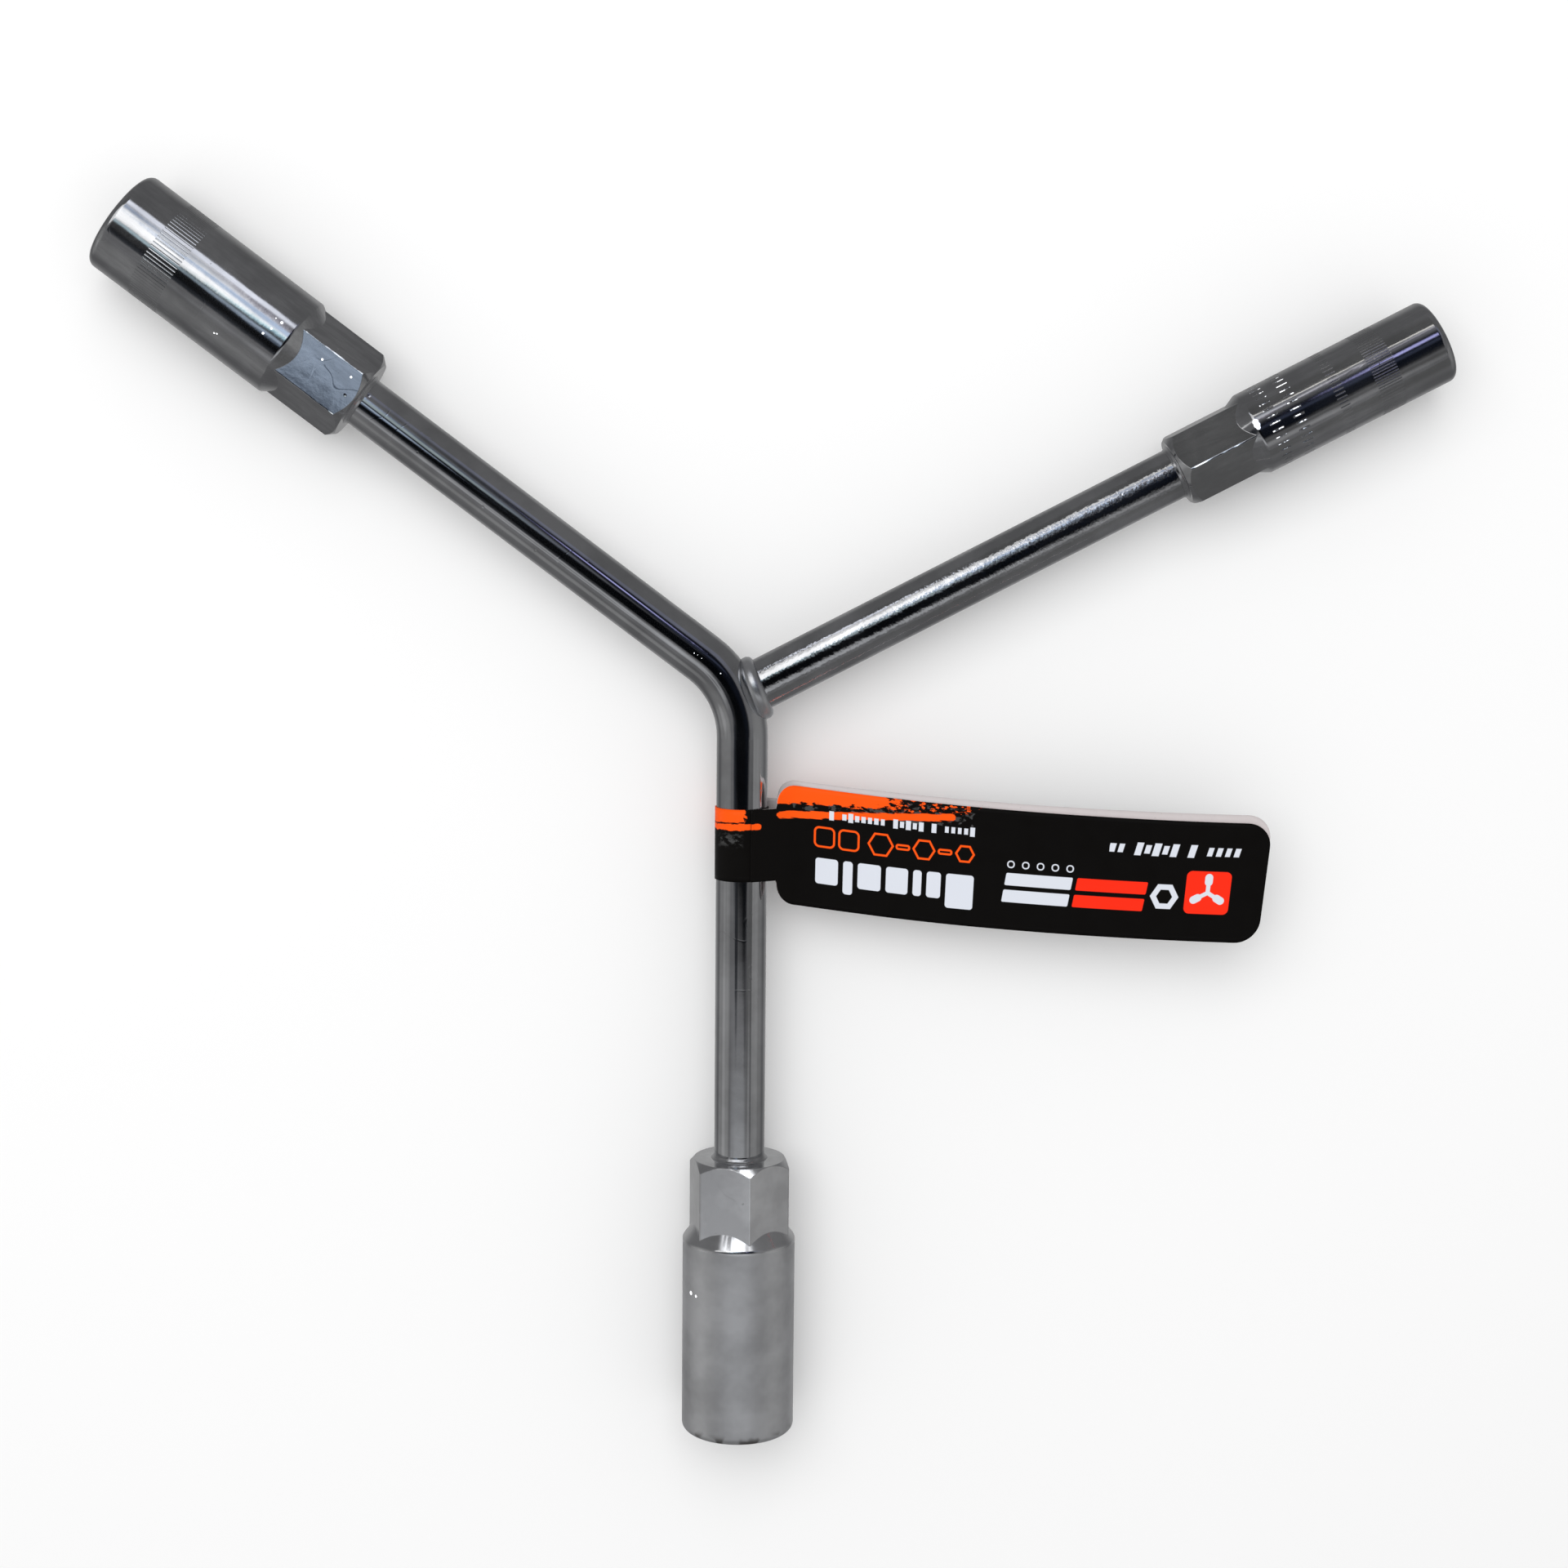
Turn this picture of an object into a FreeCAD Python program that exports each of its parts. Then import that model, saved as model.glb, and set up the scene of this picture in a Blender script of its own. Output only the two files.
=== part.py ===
import FreeCAD, Part
import Sketcher
import math
import os

# Three-arm deep socket wrench. All lengths are millimetres and all angles degrees.
# The origin is the hub: the point where the axes of the three arms meet. The arms lie in
# the XY plane, +Z is square to them, and the 14 mm arm points along -Y. Every arm piece
# is drawn with its own axis along local +X and then turned about Z to its arm's angle.

DIMENSIONS = {
    # Rods: one bar bent through the hub, and a side rod welded to the outside of the bend.
    "rod_diameter": 9.0,
    "rod_insertion": 13.0,
    "rod_gap": 0.02,
    "rod_end_chamfer": 0.6,
    "bend_radius": 17.3,
    "arm_14_angle": 270.0,
    "arm_12_angle": 143.3,
    "arm_10_angle": 27.5,
    "side_rod_shift": 0.9,
    # Ring of weld metal squeezed out between the side rod and the bend.
    "collar_angle": 22.5,
    "collar_diameter": 11.5,
    "collar_start": 0.8,
    "collar_thickness": 2.7,
    "collar_round": 1.2,
    # Cutting profiles run past the metal by this much.
    "cut_overrun": 1.0,
    # Features that the three sockets share.
    "socket_length": 50.4,
    "drive_length": 14.6,
    "drive_edge_round": 0.35,
    "rear_chamfer": 1.3,
    "rear_chamfer_angle": 42.0,
    "shoulder_length": 2.6,
    "shoulder_root_step": 0.05,
    "shoulder_edge_round": 0.7,
    "nose_round": 1.3,
    "mouth_chamfer": 0.7,
    "opening_depth": 16.0,
    "stud_bore_step": 0.5,
    "bead_length": 0.8,
    "bead_height": 0.55,
    "bead_waist_reach": 0.32,
    "bead_waist_height": 0.2,
    # Socket for 14 mm heads.
    "start_14": 84.6,
    "outside_14": 20.2,
    "drive_flats_14": 16.3,
    "opening_14": 14.1,
    "turn_14": 18.6,
    # Socket for 12 mm heads, with one knurled band.
    "start_12": 82.5,
    "outside_12": 18.4,
    "drive_flats_12": 14.9,
    "opening_12": 12.1,
    "turn_12": 0.0,
    "knurl_12_setback": 8.6,
    "knurl_12_length": 5.8,
    "knurl_12_width": 0.22,
    "knurl_12_depth": 0.06,
    "knurl_12_count": 90,
    # Socket for 10 mm heads, with a fine band, a narrow band and two rows of dashes.
    "start_10": 84.5,
    "outside_10": 14.9,
    "drive_flats_10": 12.4,
    "opening_10": 10.1,
    "turn_10": 30.0,
    "knurl_10_setback": 10.0,
    "knurl_10_length": 4.4,
    "knurl_10_width": 0.18,
    "knurl_10_depth": 0.05,
    "knurl_10_count": 90,
    "band_10_setback": 19.8,
    "band_10_length": 1.8,
    "band_10_width": 0.22,
    "band_10_depth": 0.06,
    "band_10_count": 60,
    "dash_10_setback": 27.6,
    "dash_10_pitch": 4.2,
    "dash_10_length": 2.0,
    "dash_10_width": 0.34,
    "dash_10_depth": 0.12,
    "dash_10_count": 36,
    # Hang tag: a card wrapped round the 14 mm rod, its two leaves glued face to face.
    "card_thickness": 0.28,
    "sleeve_gap": 0.08,
    "sleeve_width": 13.3,
    "sleeve_centre": 27.65,
    "leaf_gap": 0.06,
    "leaf_start": 7.2,
    "leaf_length": 86.0,
    "leaf_height": 21.9,
    "leaf_setback": 1.0,
    "leaf_tilt": 4.0,
    "leaf_corner": 4.2,
    "front_leaf_angle": 4.4,
    "back_leaf_angle": 3.4,
    "web_meeting": 9.6,
    "web_lap": 0.5,
    "web_clearance": 0.06,
    "glue_margin": 4.0,
}

SOCKET_SIZES = ("14", "12", "10")


def make_sheet(doc):
    """Put every driving dimension in a spreadsheet cell with its own alias."""
    sheet = doc.addObject("Spreadsheet::Sheet", "dims")
    for row, (alias, value) in enumerate(DIMENSIONS.items(), start=1):
        sheet.set(f"A{row}", alias)
        sheet.set(f"B{row}", str(value))
        sheet.setAlias(f"B{row}", alias)
    doc.recompute()
    return sheet


def new_body(doc, label, radial_shift=None, angle=None):
    """Start a body whose axis is local +X, turned about Z by the cell named in angle."""
    body = doc.addObject("PartDesign::Body", label)
    body.Label = label
    if angle:
        body.setExpression("Placement.Rotation.Angle", f"dims.{angle}")
    if radial_shift:
        body.setExpression("Placement.Base.x", f"dims.{radial_shift} * sin(dims.{angle})")
        body.setExpression("Placement.Base.y", f"-dims.{radial_shift} * cos(dims.{angle})")
    return body


def origin_plane(body, role):
    """Find one of the body's own origin planes or axes by its role."""
    return next(item for item in body.Origin.OriginFeatures if item.Role == role)


def new_sketch(body, name, plane, offset=None):
    """Attach a sketch to an origin plane, moved along the plane's normal if offset is given."""
    sketch = body.newObject("Sketcher::SketchObject", name)
    sketch.AttachmentSupport = [(origin_plane(body, plane), "")]
    sketch.MapMode = "FlatFace"
    if offset:
        sketch.setExpression("AttachmentOffset.Base.z", offset)
    return sketch


def set_datum(sketch, index, name, expression):
    """Name a driving constraint and bind it to the sheet."""
    sketch.renameConstraint(index, name)
    sketch.setExpression(f"Constraints.{name}", expression)


def add_polygon(sketch, corners):
    """Draw a closed outline whose corners are pairs of sheet expressions."""
    doc = sketch.Document
    points = [FreeCAD.Vector(evaluate(doc, x), evaluate(doc, y), 0) for x, y in corners]
    first = sketch.GeometryCount
    count = len(points)
    for i, point in enumerate(points):
        sketch.addGeometry(Part.LineSegment(point, points[(i + 1) % count]), False)
    for i in range(count):
        line = first + i
        following = first + (i + 1) % count
        sketch.addConstraint(Sketcher.Constraint("Coincident", line, 2, following, 1))
    for i, (x, y) in enumerate(corners):
        for kind, expression, value in (("DistanceX", x, points[i].x), ("DistanceY", y, points[i].y)):
            index = sketch.addConstraint(Sketcher.Constraint(kind, -1, 1, first + i, 1, value))
            set_datum(sketch, index, f"corner{i}{kind[-1]}", expression)


def add_circle(sketch, radius, name, centre=None):
    """Draw a circle about the sketch's origin, or about centre, with its radius bound to the sheet."""
    doc = sketch.Document
    value = evaluate(doc, radius)
    place = [evaluate(doc, expression) for expression in centre or ("0", "0")]
    circle = sketch.addGeometry(Part.Circle(FreeCAD.Vector(*place, 0), FreeCAD.Vector(0, 0, 1), value), False)
    if centre:
        for kind, expression, distance in zip(("DistanceX", "DistanceY"), centre, place):
            index = sketch.addConstraint(Sketcher.Constraint(kind, -1, 1, circle, 3, distance))
            set_datum(sketch, index, f"{name}_{kind[-1]}", expression)
    else:
        sketch.addConstraint(Sketcher.Constraint("Coincident", circle, 3, -1, 1))
    index = sketch.addConstraint(Sketcher.Constraint("Radius", circle, value))
    set_datum(sketch, index, name, radius)


def evaluate(doc, expression):
    """Work out a sheet expression as a plain number."""
    value = doc.getObject("dims").evalExpression(expression.replace("dims.", ""))
    return float(getattr(value, "Value", value))


def hexagon_corners(flats, turn):
    """Corners of a hexagon given across its flats, turned by an angle from the first axis."""
    radius = f"{flats} / 2 / cos(30)"
    return [(f"{radius} * cos({turn} + {60 * i})", f"{radius} * sin({turn} + {60 * i})") for i in range(6)]


def turned_point(x, y, angle):
    """A point given by two expressions, turned by an angle about the sketch's origin."""
    return (f"{x} * cos({angle}) - {y} * sin({angle})", f"{x} * sin({angle}) + {y} * cos({angle})")


def revolve(body, kind, sketch):
    """Turn a profile about the body's X axis, adding or removing metal."""
    feature = body.newObject(kind, sketch.Name + "_turned")
    feature.Profile = sketch
    feature.ReferenceAxis = (origin_plane(body, "X_Axis"), [""])
    feature.Angle = 360.0
    sketch.Visibility = False
    return feature


def check_volume(body, before, removes):
    """Stop when a feature has not changed the volume in the direction it should."""
    body.Document.recompute()
    change = body.Shape.Volume - before
    if (change >= 0) == removes:
        raise RuntimeError(f"{body.Label}: the last feature changed the volume by {change:.4f}")
    return body.Shape.Volume


def pad_disc(body, name, radius, start, length):
    """Pad a round bar along +X from start."""
    sketch = new_sketch(body, name, "YZ_Plane", start)
    add_circle(sketch, radius, "bar_radius")
    pad = body.newObject("PartDesign::Pad", name + "_pad")
    pad.Profile = sketch
    pad.setExpression("Length", length)
    return pad


def chamfer_edges(body, base, size, wanted):
    """Chamfer the edges of a feature that pass a test."""
    body.Document.recompute()
    edges = [f"Edge{i}" for i, edge in enumerate(base.Shape.Edges, start=1) if wanted(edge)]
    chamfer = body.newObject("PartDesign::Chamfer", base.Name + "_chamfer")
    chamfer.Base = (base, edges)
    chamfer.setExpression("Size", size)
    return chamfer


def fillet_edges(body, base, radius, wanted):
    """Round the edges of a feature that pass a test."""
    body.Document.recompute()
    edges = [f"Edge{i}" for i, edge in enumerate(base.Shape.Edges, start=1) if wanted(edge)]
    fillet = body.newObject("PartDesign::Fillet", base.Name + "_round")
    fillet.Base = (base, edges)
    fillet.setExpression("Radius", radius)
    return fillet


def is_circle_at(x, radius=None):
    """Test for a full circle square to X at a distance from the body's origin."""
    def wanted(edge):
        if not isinstance(edge.Curve, Part.Circle) or abs(edge.Curve.Center.x - x) > 1e-4:
            return False
        return radius is None or abs(edge.Curve.Radius - radius) < 1e-4
    return wanted


def make_bent_rod(doc):
    """One bar, swept from the 14 mm socket through the hub's bend to the 12 mm socket."""
    body = new_body(doc, "bent_rod")
    reach_14 = "(dims.start_14 + dims.rod_insertion)"
    reach_12 = "(dims.start_12 + dims.rod_insertion)"
    half_angle = "((dims.arm_14_angle - dims.arm_12_angle) / 2)"
    tangent = evaluate(doc, f"dims.bend_radius / tan{half_angle}")
    angle_12 = math.radians(evaluate(doc, "dims.arm_12_angle"))
    toward_12 = FreeCAD.Vector(math.cos(angle_12), math.sin(angle_12), 0)
    toward_14 = FreeCAD.Vector(0, -1, 0)
    middle = (toward_12 + toward_14).normalize()
    radius = evaluate(doc, "dims.bend_radius")
    centre_distance = radius / math.sin(math.radians(evaluate(doc, half_angle)))
    arc_middle = middle * (centre_distance - radius)

    path = new_sketch(body, "rod_path", "XY_Plane")
    start = toward_14 * evaluate(doc, reach_14)
    end = toward_12 * evaluate(doc, reach_12)
    path.addGeometry(Part.LineSegment(start, toward_14 * tangent), False)
    path.addGeometry(Part.Arc(toward_14 * tangent, arc_middle, toward_12 * tangent), False)
    path.addGeometry(Part.LineSegment(toward_12 * tangent, end), False)
    # The arc may run either way round, so its ends are matched by position.
    near_14 = 1 if path.getPoint(1, 1).distanceToPoint(toward_14 * tangent) < 1e-6 else 2
    path.addConstraint(Sketcher.Constraint("PointOnObject", 0, 1, -2))
    path.addConstraint(Sketcher.Constraint("PointOnObject", 0, 2, -2))
    path.addConstraint(Sketcher.Constraint("Tangent", 0, 2, 1, near_14))
    path.addConstraint(Sketcher.Constraint("Tangent", 1, 3 - near_14, 2, 1))
    path.addConstraint(Sketcher.Constraint("PointOnObject", -1, 1, 2))
    for kind, line, point, name, expression in (
            ("DistanceY", 0, 1, "end_14", f"-{reach_14}"),
            ("DistanceX", 2, 2, "end_12x", f"{reach_12} * cos(dims.arm_12_angle)"),
            ("DistanceY", 2, 2, "end_12y", f"{reach_12} * sin(dims.arm_12_angle)")):
        value = evaluate(doc, expression)
        index = path.addConstraint(Sketcher.Constraint(kind, -1, 1, line, point, value))
        set_datum(path, index, name, expression)
    index = path.addConstraint(Sketcher.Constraint("Radius", 1, radius))
    set_datum(path, index, "bend", "dims.bend_radius")

    profile = new_sketch(body, "rod_section", "XZ_Plane", reach_14)
    add_circle(profile, "dims.rod_diameter / 2", "section_radius")
    pipe = body.newObject("PartDesign::AdditivePipe", "rod_sweep")
    pipe.Profile = profile
    pipe.Spine = path
    doc.recompute()

    def is_end(edge):
        if not isinstance(edge.Curve, Part.Circle):
            return False
        return any(edge.Curve.Center.distanceToPoint(point) < 1e-4 for point in (start, end))

    chamfer_edges(body, pipe, "dims.rod_end_chamfer", is_end)
    return body


def make_collar_disc(doc):
    """Full disc of weld metal with a rounded rim, before the rods are taken out of it."""
    body = new_body(doc, "collar_disc", "side_rod_shift", "collar_angle")
    disc = pad_disc(body, "disc", "dims.collar_diameter / 2", "dims.collar_start", "dims.collar_thickness")
    fillet_edges(body, disc, "dims.collar_round", lambda edge: isinstance(edge.Curve, Part.Circle))
    return body


def make_weld_collar(doc, disc, bent_rod):
    """The weld ring: the disc with the bent rod's surface cut out of it."""
    collar = doc.addObject("Part::Cut", "weld_collar")
    collar.Base = disc
    collar.Tool = bent_rod
    return collar


def make_side_rod(doc, disc):
    """Straight bar from the weld ring's outer face into the 10 mm socket."""
    bar = new_body(doc, "side_bar", "side_rod_shift", "arm_10_angle")
    first = "(dims.collar_start + dims.collar_thickness / 2)"
    last = "(dims.start_10 + dims.rod_insertion)"
    pad = pad_disc(bar, "bar", "dims.rod_diameter / 2", first, f"{last} - {first}")
    chamfer_edges(bar, pad, "dims.rod_end_chamfer", is_circle_at(evaluate(doc, last)))
    rod = doc.addObject("Part::Cut", "side_rod")
    rod.Base = bar
    rod.Tool = disc
    return rod


def add_groove_band(body, name, cells, setback, turn="0"):
    """Cut one band of axial grooves round a socket: a round-bottomed notch, pocketed and repeated.

    cells is the start of the names of the band's cells, and turn an angle about the axis.
    """
    doc = body.Document
    prefix = f"dims.{cells}"
    size = body.Label[-2:]
    before = body.Shape.Volume
    sketch = new_sketch(body, name, "YZ_Plane", f"dims.start_{size} + dims.socket_length - {setback}")
    radius = f"(({prefix}_width / 2)^2 + {prefix}_depth^2) / (2 * {prefix}_depth)"
    middle = f"(dims.outside_{size} / 2 - {prefix}_depth + {radius})"
    add_circle(sketch, radius, "groove_radius", turned_point(middle, "0", turn))
    pocket = body.newObject("PartDesign::Pocket", name + "_cut")
    pocket.Profile = sketch
    pocket.setExpression("Length", f"{prefix}_length")
    before = check_volume(body, before, removes=True)
    pattern = body.newObject("PartDesign::PolarPattern", name + "_ring")
    pattern.Originals = [pocket]
    pattern.Axis = (origin_plane(body, "X_Axis"), [""])
    pattern.Angle = 360.0
    pattern.setExpression("Occurrences", f"{prefix}_count")
    body.Tip = pattern
    check_volume(body, before, removes=True)
    doc.recompute()


def make_socket(doc, size):
    """Deep socket: hexagonal drive end, conical shoulder, round barrel, hexagonal mouth."""
    body = new_body(doc, f"socket_{size}", "side_rod_shift" if size == "10" else None, f"arm_{size}_angle")
    start = f"dims.start_{size}"
    nose = f"({start} + dims.socket_length)"
    drive_end = f"({start} + dims.drive_length)"
    outer = f"(dims.outside_{size} / 2)"
    flats = f"dims.drive_flats_{size}"
    corner = f"({flats} / 2 / cos(30))"
    before_start = f"{start} - dims.cut_overrun"

    # Hexagonal drive end with its long edges eased.
    drive = new_sketch(body, "drive_outline", "YZ_Plane", start)
    add_polygon(drive, hexagon_corners(flats, f"dims.turn_{size}"))
    pad = body.newObject("PartDesign::Pad", "drive")
    pad.Profile = drive
    pad.setExpression("Length", "dims.drive_length + dims.shoulder_length")
    eased = fillet_edges(body, pad, "dims.drive_edge_round",
                         lambda edge: edge.Length > evaluate(doc, "dims.drive_length"))
    doc.recompute()
    volume = body.Shape.Volume

    # Conical chamfer across the hexagon's rear corners.
    rear = new_sketch(body, "rear_chamfer_profile", "XY_Plane")
    cone = "tan(dims.rear_chamfer_angle)"
    add_polygon(rear, [
        (before_start, f"{corner} - dims.rear_chamfer - dims.cut_overrun * {cone}"),
        (f"{start} + (dims.rear_chamfer + dims.cut_overrun) / {cone}", f"{corner} + dims.cut_overrun"),
        (before_start, f"{corner} + dims.cut_overrun")])
    revolve(body, "PartDesign::Groove", rear)
    volume = check_volume(body, volume, removes=True)

    # Barrel with the cone that runs out into the hexagon's flats.
    barrel = new_sketch(body, "barrel_profile", "XY_Plane")
    add_polygon(barrel, [
        (f"{drive_end} - dims.shoulder_length", "0"),
        (f"{drive_end} - dims.shoulder_length", f"{flats} / 2 - dims.shoulder_root_step"),
        (drive_end, outer),
        (nose, outer),
        (nose, "0")])
    barrel_turned = revolve(body, "PartDesign::Revolution", barrel)
    volume = check_volume(body, volume, removes=False)
    rounded = fillet_edges(body, barrel_turned, "dims.nose_round",
                           is_circle_at(evaluate(doc, nose), evaluate(doc, outer)))
    fillet_edges(body, rounded, "dims.shoulder_edge_round",
                 is_circle_at(evaluate(doc, drive_end), evaluate(doc, outer)))
    doc.recompute()
    volume = body.Shape.Volume

    # Rear bore for the rod, opening into the wider bore that clears a long stud.
    bores = new_sketch(body, "bore_profile", "XY_Plane")
    rod_radius = "(dims.rod_diameter / 2 + dims.rod_gap)"
    stud_radius = f"((dims.opening_{size} - dims.stud_bore_step) / 2)"
    rod_end = f"({start} + dims.rod_insertion)"
    inside_mouth = f"{nose} - dims.opening_depth / 2"
    add_polygon(bores, [
        (before_start, "0"),
        (before_start, rod_radius),
        (rod_end, rod_radius),
        (rod_end, stud_radius),
        (inside_mouth, stud_radius),
        (inside_mouth, "0")])
    revolve(body, "PartDesign::Groove", bores)
    volume = check_volume(body, volume, removes=True)

    # Hexagonal mouth, cut back from the nose, with a conical lead-in.
    mouth = new_sketch(body, "mouth_outline", "YZ_Plane", nose)
    add_polygon(mouth, hexagon_corners(f"dims.opening_{size}", f"dims.turn_{size}"))
    pocket = body.newObject("PartDesign::Pocket", "mouth")
    pocket.Profile = mouth
    pocket.setExpression("Length", "dims.opening_depth")
    volume = check_volume(body, volume, removes=True)
    lead = new_sketch(body, "lead_in_profile", "XY_Plane")
    mouth_corner = f"(dims.opening_{size} / 2 / cos(30))"
    add_polygon(lead, [
        (f"{nose} - dims.mouth_chamfer * 2", "0"),
        (f"{nose} - dims.mouth_chamfer * 2", f"{mouth_corner} - dims.mouth_chamfer"),
        (nose, mouth_corner),
        (f"{nose} + dims.cut_overrun", mouth_corner),
        (f"{nose} + dims.cut_overrun", "0")])
    revolve(body, "PartDesign::Groove", lead)
    check_volume(body, volume, removes=True)
    return body


def make_bead(doc, size):
    """Small ring of weld metal in the corner between a rod and a socket's rear face."""
    body = new_body(doc, f"weld_bead_{size}", "side_rod_shift" if size == "10" else None, f"arm_{size}_angle")
    start = f"dims.start_{size}"
    rod = "(dims.rod_diameter / 2)"
    profile = new_sketch(body, "bead_profile", "XY_Plane")
    add_polygon(profile, [
        (f"{start} - dims.bead_length", rod),
        (start, rod),
        (start, f"{rod} + dims.bead_height"),
        (f"{start} - dims.bead_waist_reach", f"{rod} + dims.bead_waist_height")])
    revolve(body, "PartDesign::Revolution", profile)
    return body


def make_tag_sleeve(doc):
    """The part of the card that goes round the rod."""
    body = new_body(doc, "tag_sleeve")
    sketch = new_sketch(body, "sleeve_section", "XZ_Plane", "dims.sleeve_centre - dims.sleeve_width / 2")
    inner = "dims.rod_diameter / 2 + dims.sleeve_gap"
    add_circle(sketch, inner, "inner_radius")
    add_circle(sketch, f"{inner} + dims.card_thickness", "outer_radius")
    pad = body.newObject("PartDesign::Pad", "sleeve")
    pad.Profile = sketch
    pad.setExpression("Length", "dims.sleeve_width")
    return body


def tilt_about_rod(body):
    """Raise a tag piece's outer end by turning it about the 14 mm rod's axis."""
    tilt = evaluate(body.Document, "dims.leaf_tilt")
    body.Placement.Rotation = FreeCAD.Rotation(FreeCAD.Vector(0, -1, 0), tilt)
    body.setExpression("Placement.Rotation.Angle", "dims.leaf_tilt")


def make_leaf(doc, name, side, angle):
    """One leaf: a rounded card plate and the web that carries it back to the sleeve.

    side is +1 for the leaf above the glue and -1 for the leaf below it.
    """
    body = new_body(doc, name)
    tilt_about_rod(body)
    plate = new_sketch(body, "plate_outline", "XY_Plane")
    slope = f"tan(dims.{angle})"
    far = "(dims.leaf_start + dims.leaf_length)"
    top = "-(dims.sleeve_centre + dims.leaf_setback - dims.leaf_height / 2)"
    corners = [
        ("dims.leaf_start", f"{top} - dims.leaf_height"),
        (far, f"{top} - dims.leaf_height - dims.leaf_length * {slope}"),
        (far, f"{top} - dims.leaf_length * {slope}"),
        ("dims.leaf_start", top)]
    add_polygon(plate, corners)
    plate.setExpression("AttachmentOffset.Base.z",
                        f"dims.leaf_gap / 2 - {0 if side > 0 else 1} * (dims.leaf_gap + dims.card_thickness)")
    pad = body.newObject("PartDesign::Pad", "plate")
    pad.Profile = plate
    pad.setExpression("Length", "dims.card_thickness")
    fillet_edges(body, pad, "dims.leaf_corner",
                 lambda edge: abs(edge.tangentAt(edge.FirstParameter).z) > 0.99)
    doc.recompute()
    volume = body.Shape.Volume

    # The web leaves the sleeve along a tangent and meets the plate at web_meeting.
    web = new_sketch(body, "web_section", "XZ_Plane", "dims.sleeve_centre - dims.sleeve_width / 2")
    radius = "(dims.rod_diameter / 2 + dims.sleeve_gap + dims.card_thickness + dims.web_clearance)"
    outer = f"({radius} + dims.card_thickness)"
    lift = f"acos({radius} / dims.web_meeting)"
    sign = "" if side > 0 else "-"
    add_polygon(web, [
        (f"{radius} * cos({lift})", f"{sign}{radius} * sin({lift})"),
        (f"{outer} * cos({lift})", f"{sign}{outer} * sin({lift})"),
        ("dims.web_meeting + dims.web_lap", f"{sign}(dims.leaf_gap / 2 + dims.card_thickness)"),
        ("dims.web_meeting", f"{sign}dims.leaf_gap / 2")])
    web_pad = body.newObject("PartDesign::Pad", "web")
    web_pad.Profile = web
    web_pad.setExpression("Length", "dims.sleeve_width")
    check_volume(body, volume, removes=False)
    return body


def make_glue(doc):
    """Thin film of glue that holds the two leaves together."""
    body = new_body(doc, "tag_adhesive")
    tilt_about_rod(body)
    film = new_sketch(body, "film_outline", "XY_Plane", "-dims.leaf_gap / 2")
    near = "(dims.web_meeting + dims.glue_margin / 2)"
    far = "(dims.leaf_start + dims.leaf_length - dims.glue_margin)"
    middle = "dims.sleeve_centre + dims.leaf_setback"
    half = "(dims.leaf_height / 2 - dims.glue_margin)"
    slope = "tan((dims.front_leaf_angle + dims.back_leaf_angle) / 2)"
    add_polygon(film, [
        (near, f"-({middle}) - {half} - {near} * {slope}"),
        (far, f"-({middle}) - {half} - {far} * {slope}"),
        (far, f"-({middle}) + {half} - {far} * {slope}"),
        (near, f"-({middle}) + {half} - {near} * {slope}")])
    pad = body.newObject("PartDesign::Pad", "film")
    pad.Profile = film
    pad.setExpression("Length", "dims.leaf_gap")
    return body


def check_document(doc, parts):
    """Stop on any failed object and on any sub-part without a valid solid."""
    doc.recompute()
    for item in doc.Objects:
        if "Invalid" in item.State or "Error" in item.State:
            raise RuntimeError(f"{item.Label} failed: {item.State}")
    for part in parts:
        if part.Shape.isNull() or not part.Shape.isValid() or not part.Shape.Solids:
            raise RuntimeError(f"{part.Label} has no valid solid")


def main():
    doc = FreeCAD.newDocument("socket_wrench")
    make_sheet(doc)

    bent_rod = make_bent_rod(doc)
    collar_disc = make_collar_disc(doc)
    parts = [bent_rod, make_weld_collar(doc, collar_disc, bent_rod), make_side_rod(doc, collar_disc)]
    sockets = {size: make_socket(doc, size) for size in SOCKET_SIZES}
    add_groove_band(sockets["12"], "knurl", "knurl_12", "dims.knurl_12_setback")
    add_groove_band(sockets["10"], "knurl", "knurl_10", "dims.knurl_10_setback")
    add_groove_band(sockets["10"], "band", "band_10", "dims.band_10_setback")
    add_groove_band(sockets["10"], "front_dashes", "dash_10", "dims.dash_10_setback")
    add_groove_band(sockets["10"], "rear_dashes", "dash_10", "(dims.dash_10_setback + dims.dash_10_pitch)",
                    "180 / dims.dash_10_count")
    parts += sockets.values()
    parts += [make_bead(doc, size) for size in SOCKET_SIZES]
    parts.append(make_tag_sleeve(doc))
    parts.append(make_leaf(doc, "tag_front_leaf", 1, "front_leaf_angle"))
    parts.append(make_leaf(doc, "tag_back_leaf", -1, "back_leaf_angle"))
    parts.append(make_glue(doc))

    check_document(doc, parts)
    os.makedirs("parts", exist_ok=True)
    for part in parts:
        part.Shape.exportStep(f"parts/{part.Label}.step")
        print(f"{part.Label}: {len(part.Shape.Solids)} solid(s), {part.Shape.Volume:.1f} mm3")


main()
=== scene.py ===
import math

import bpy
from mathutils import Matrix, Vector


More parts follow.
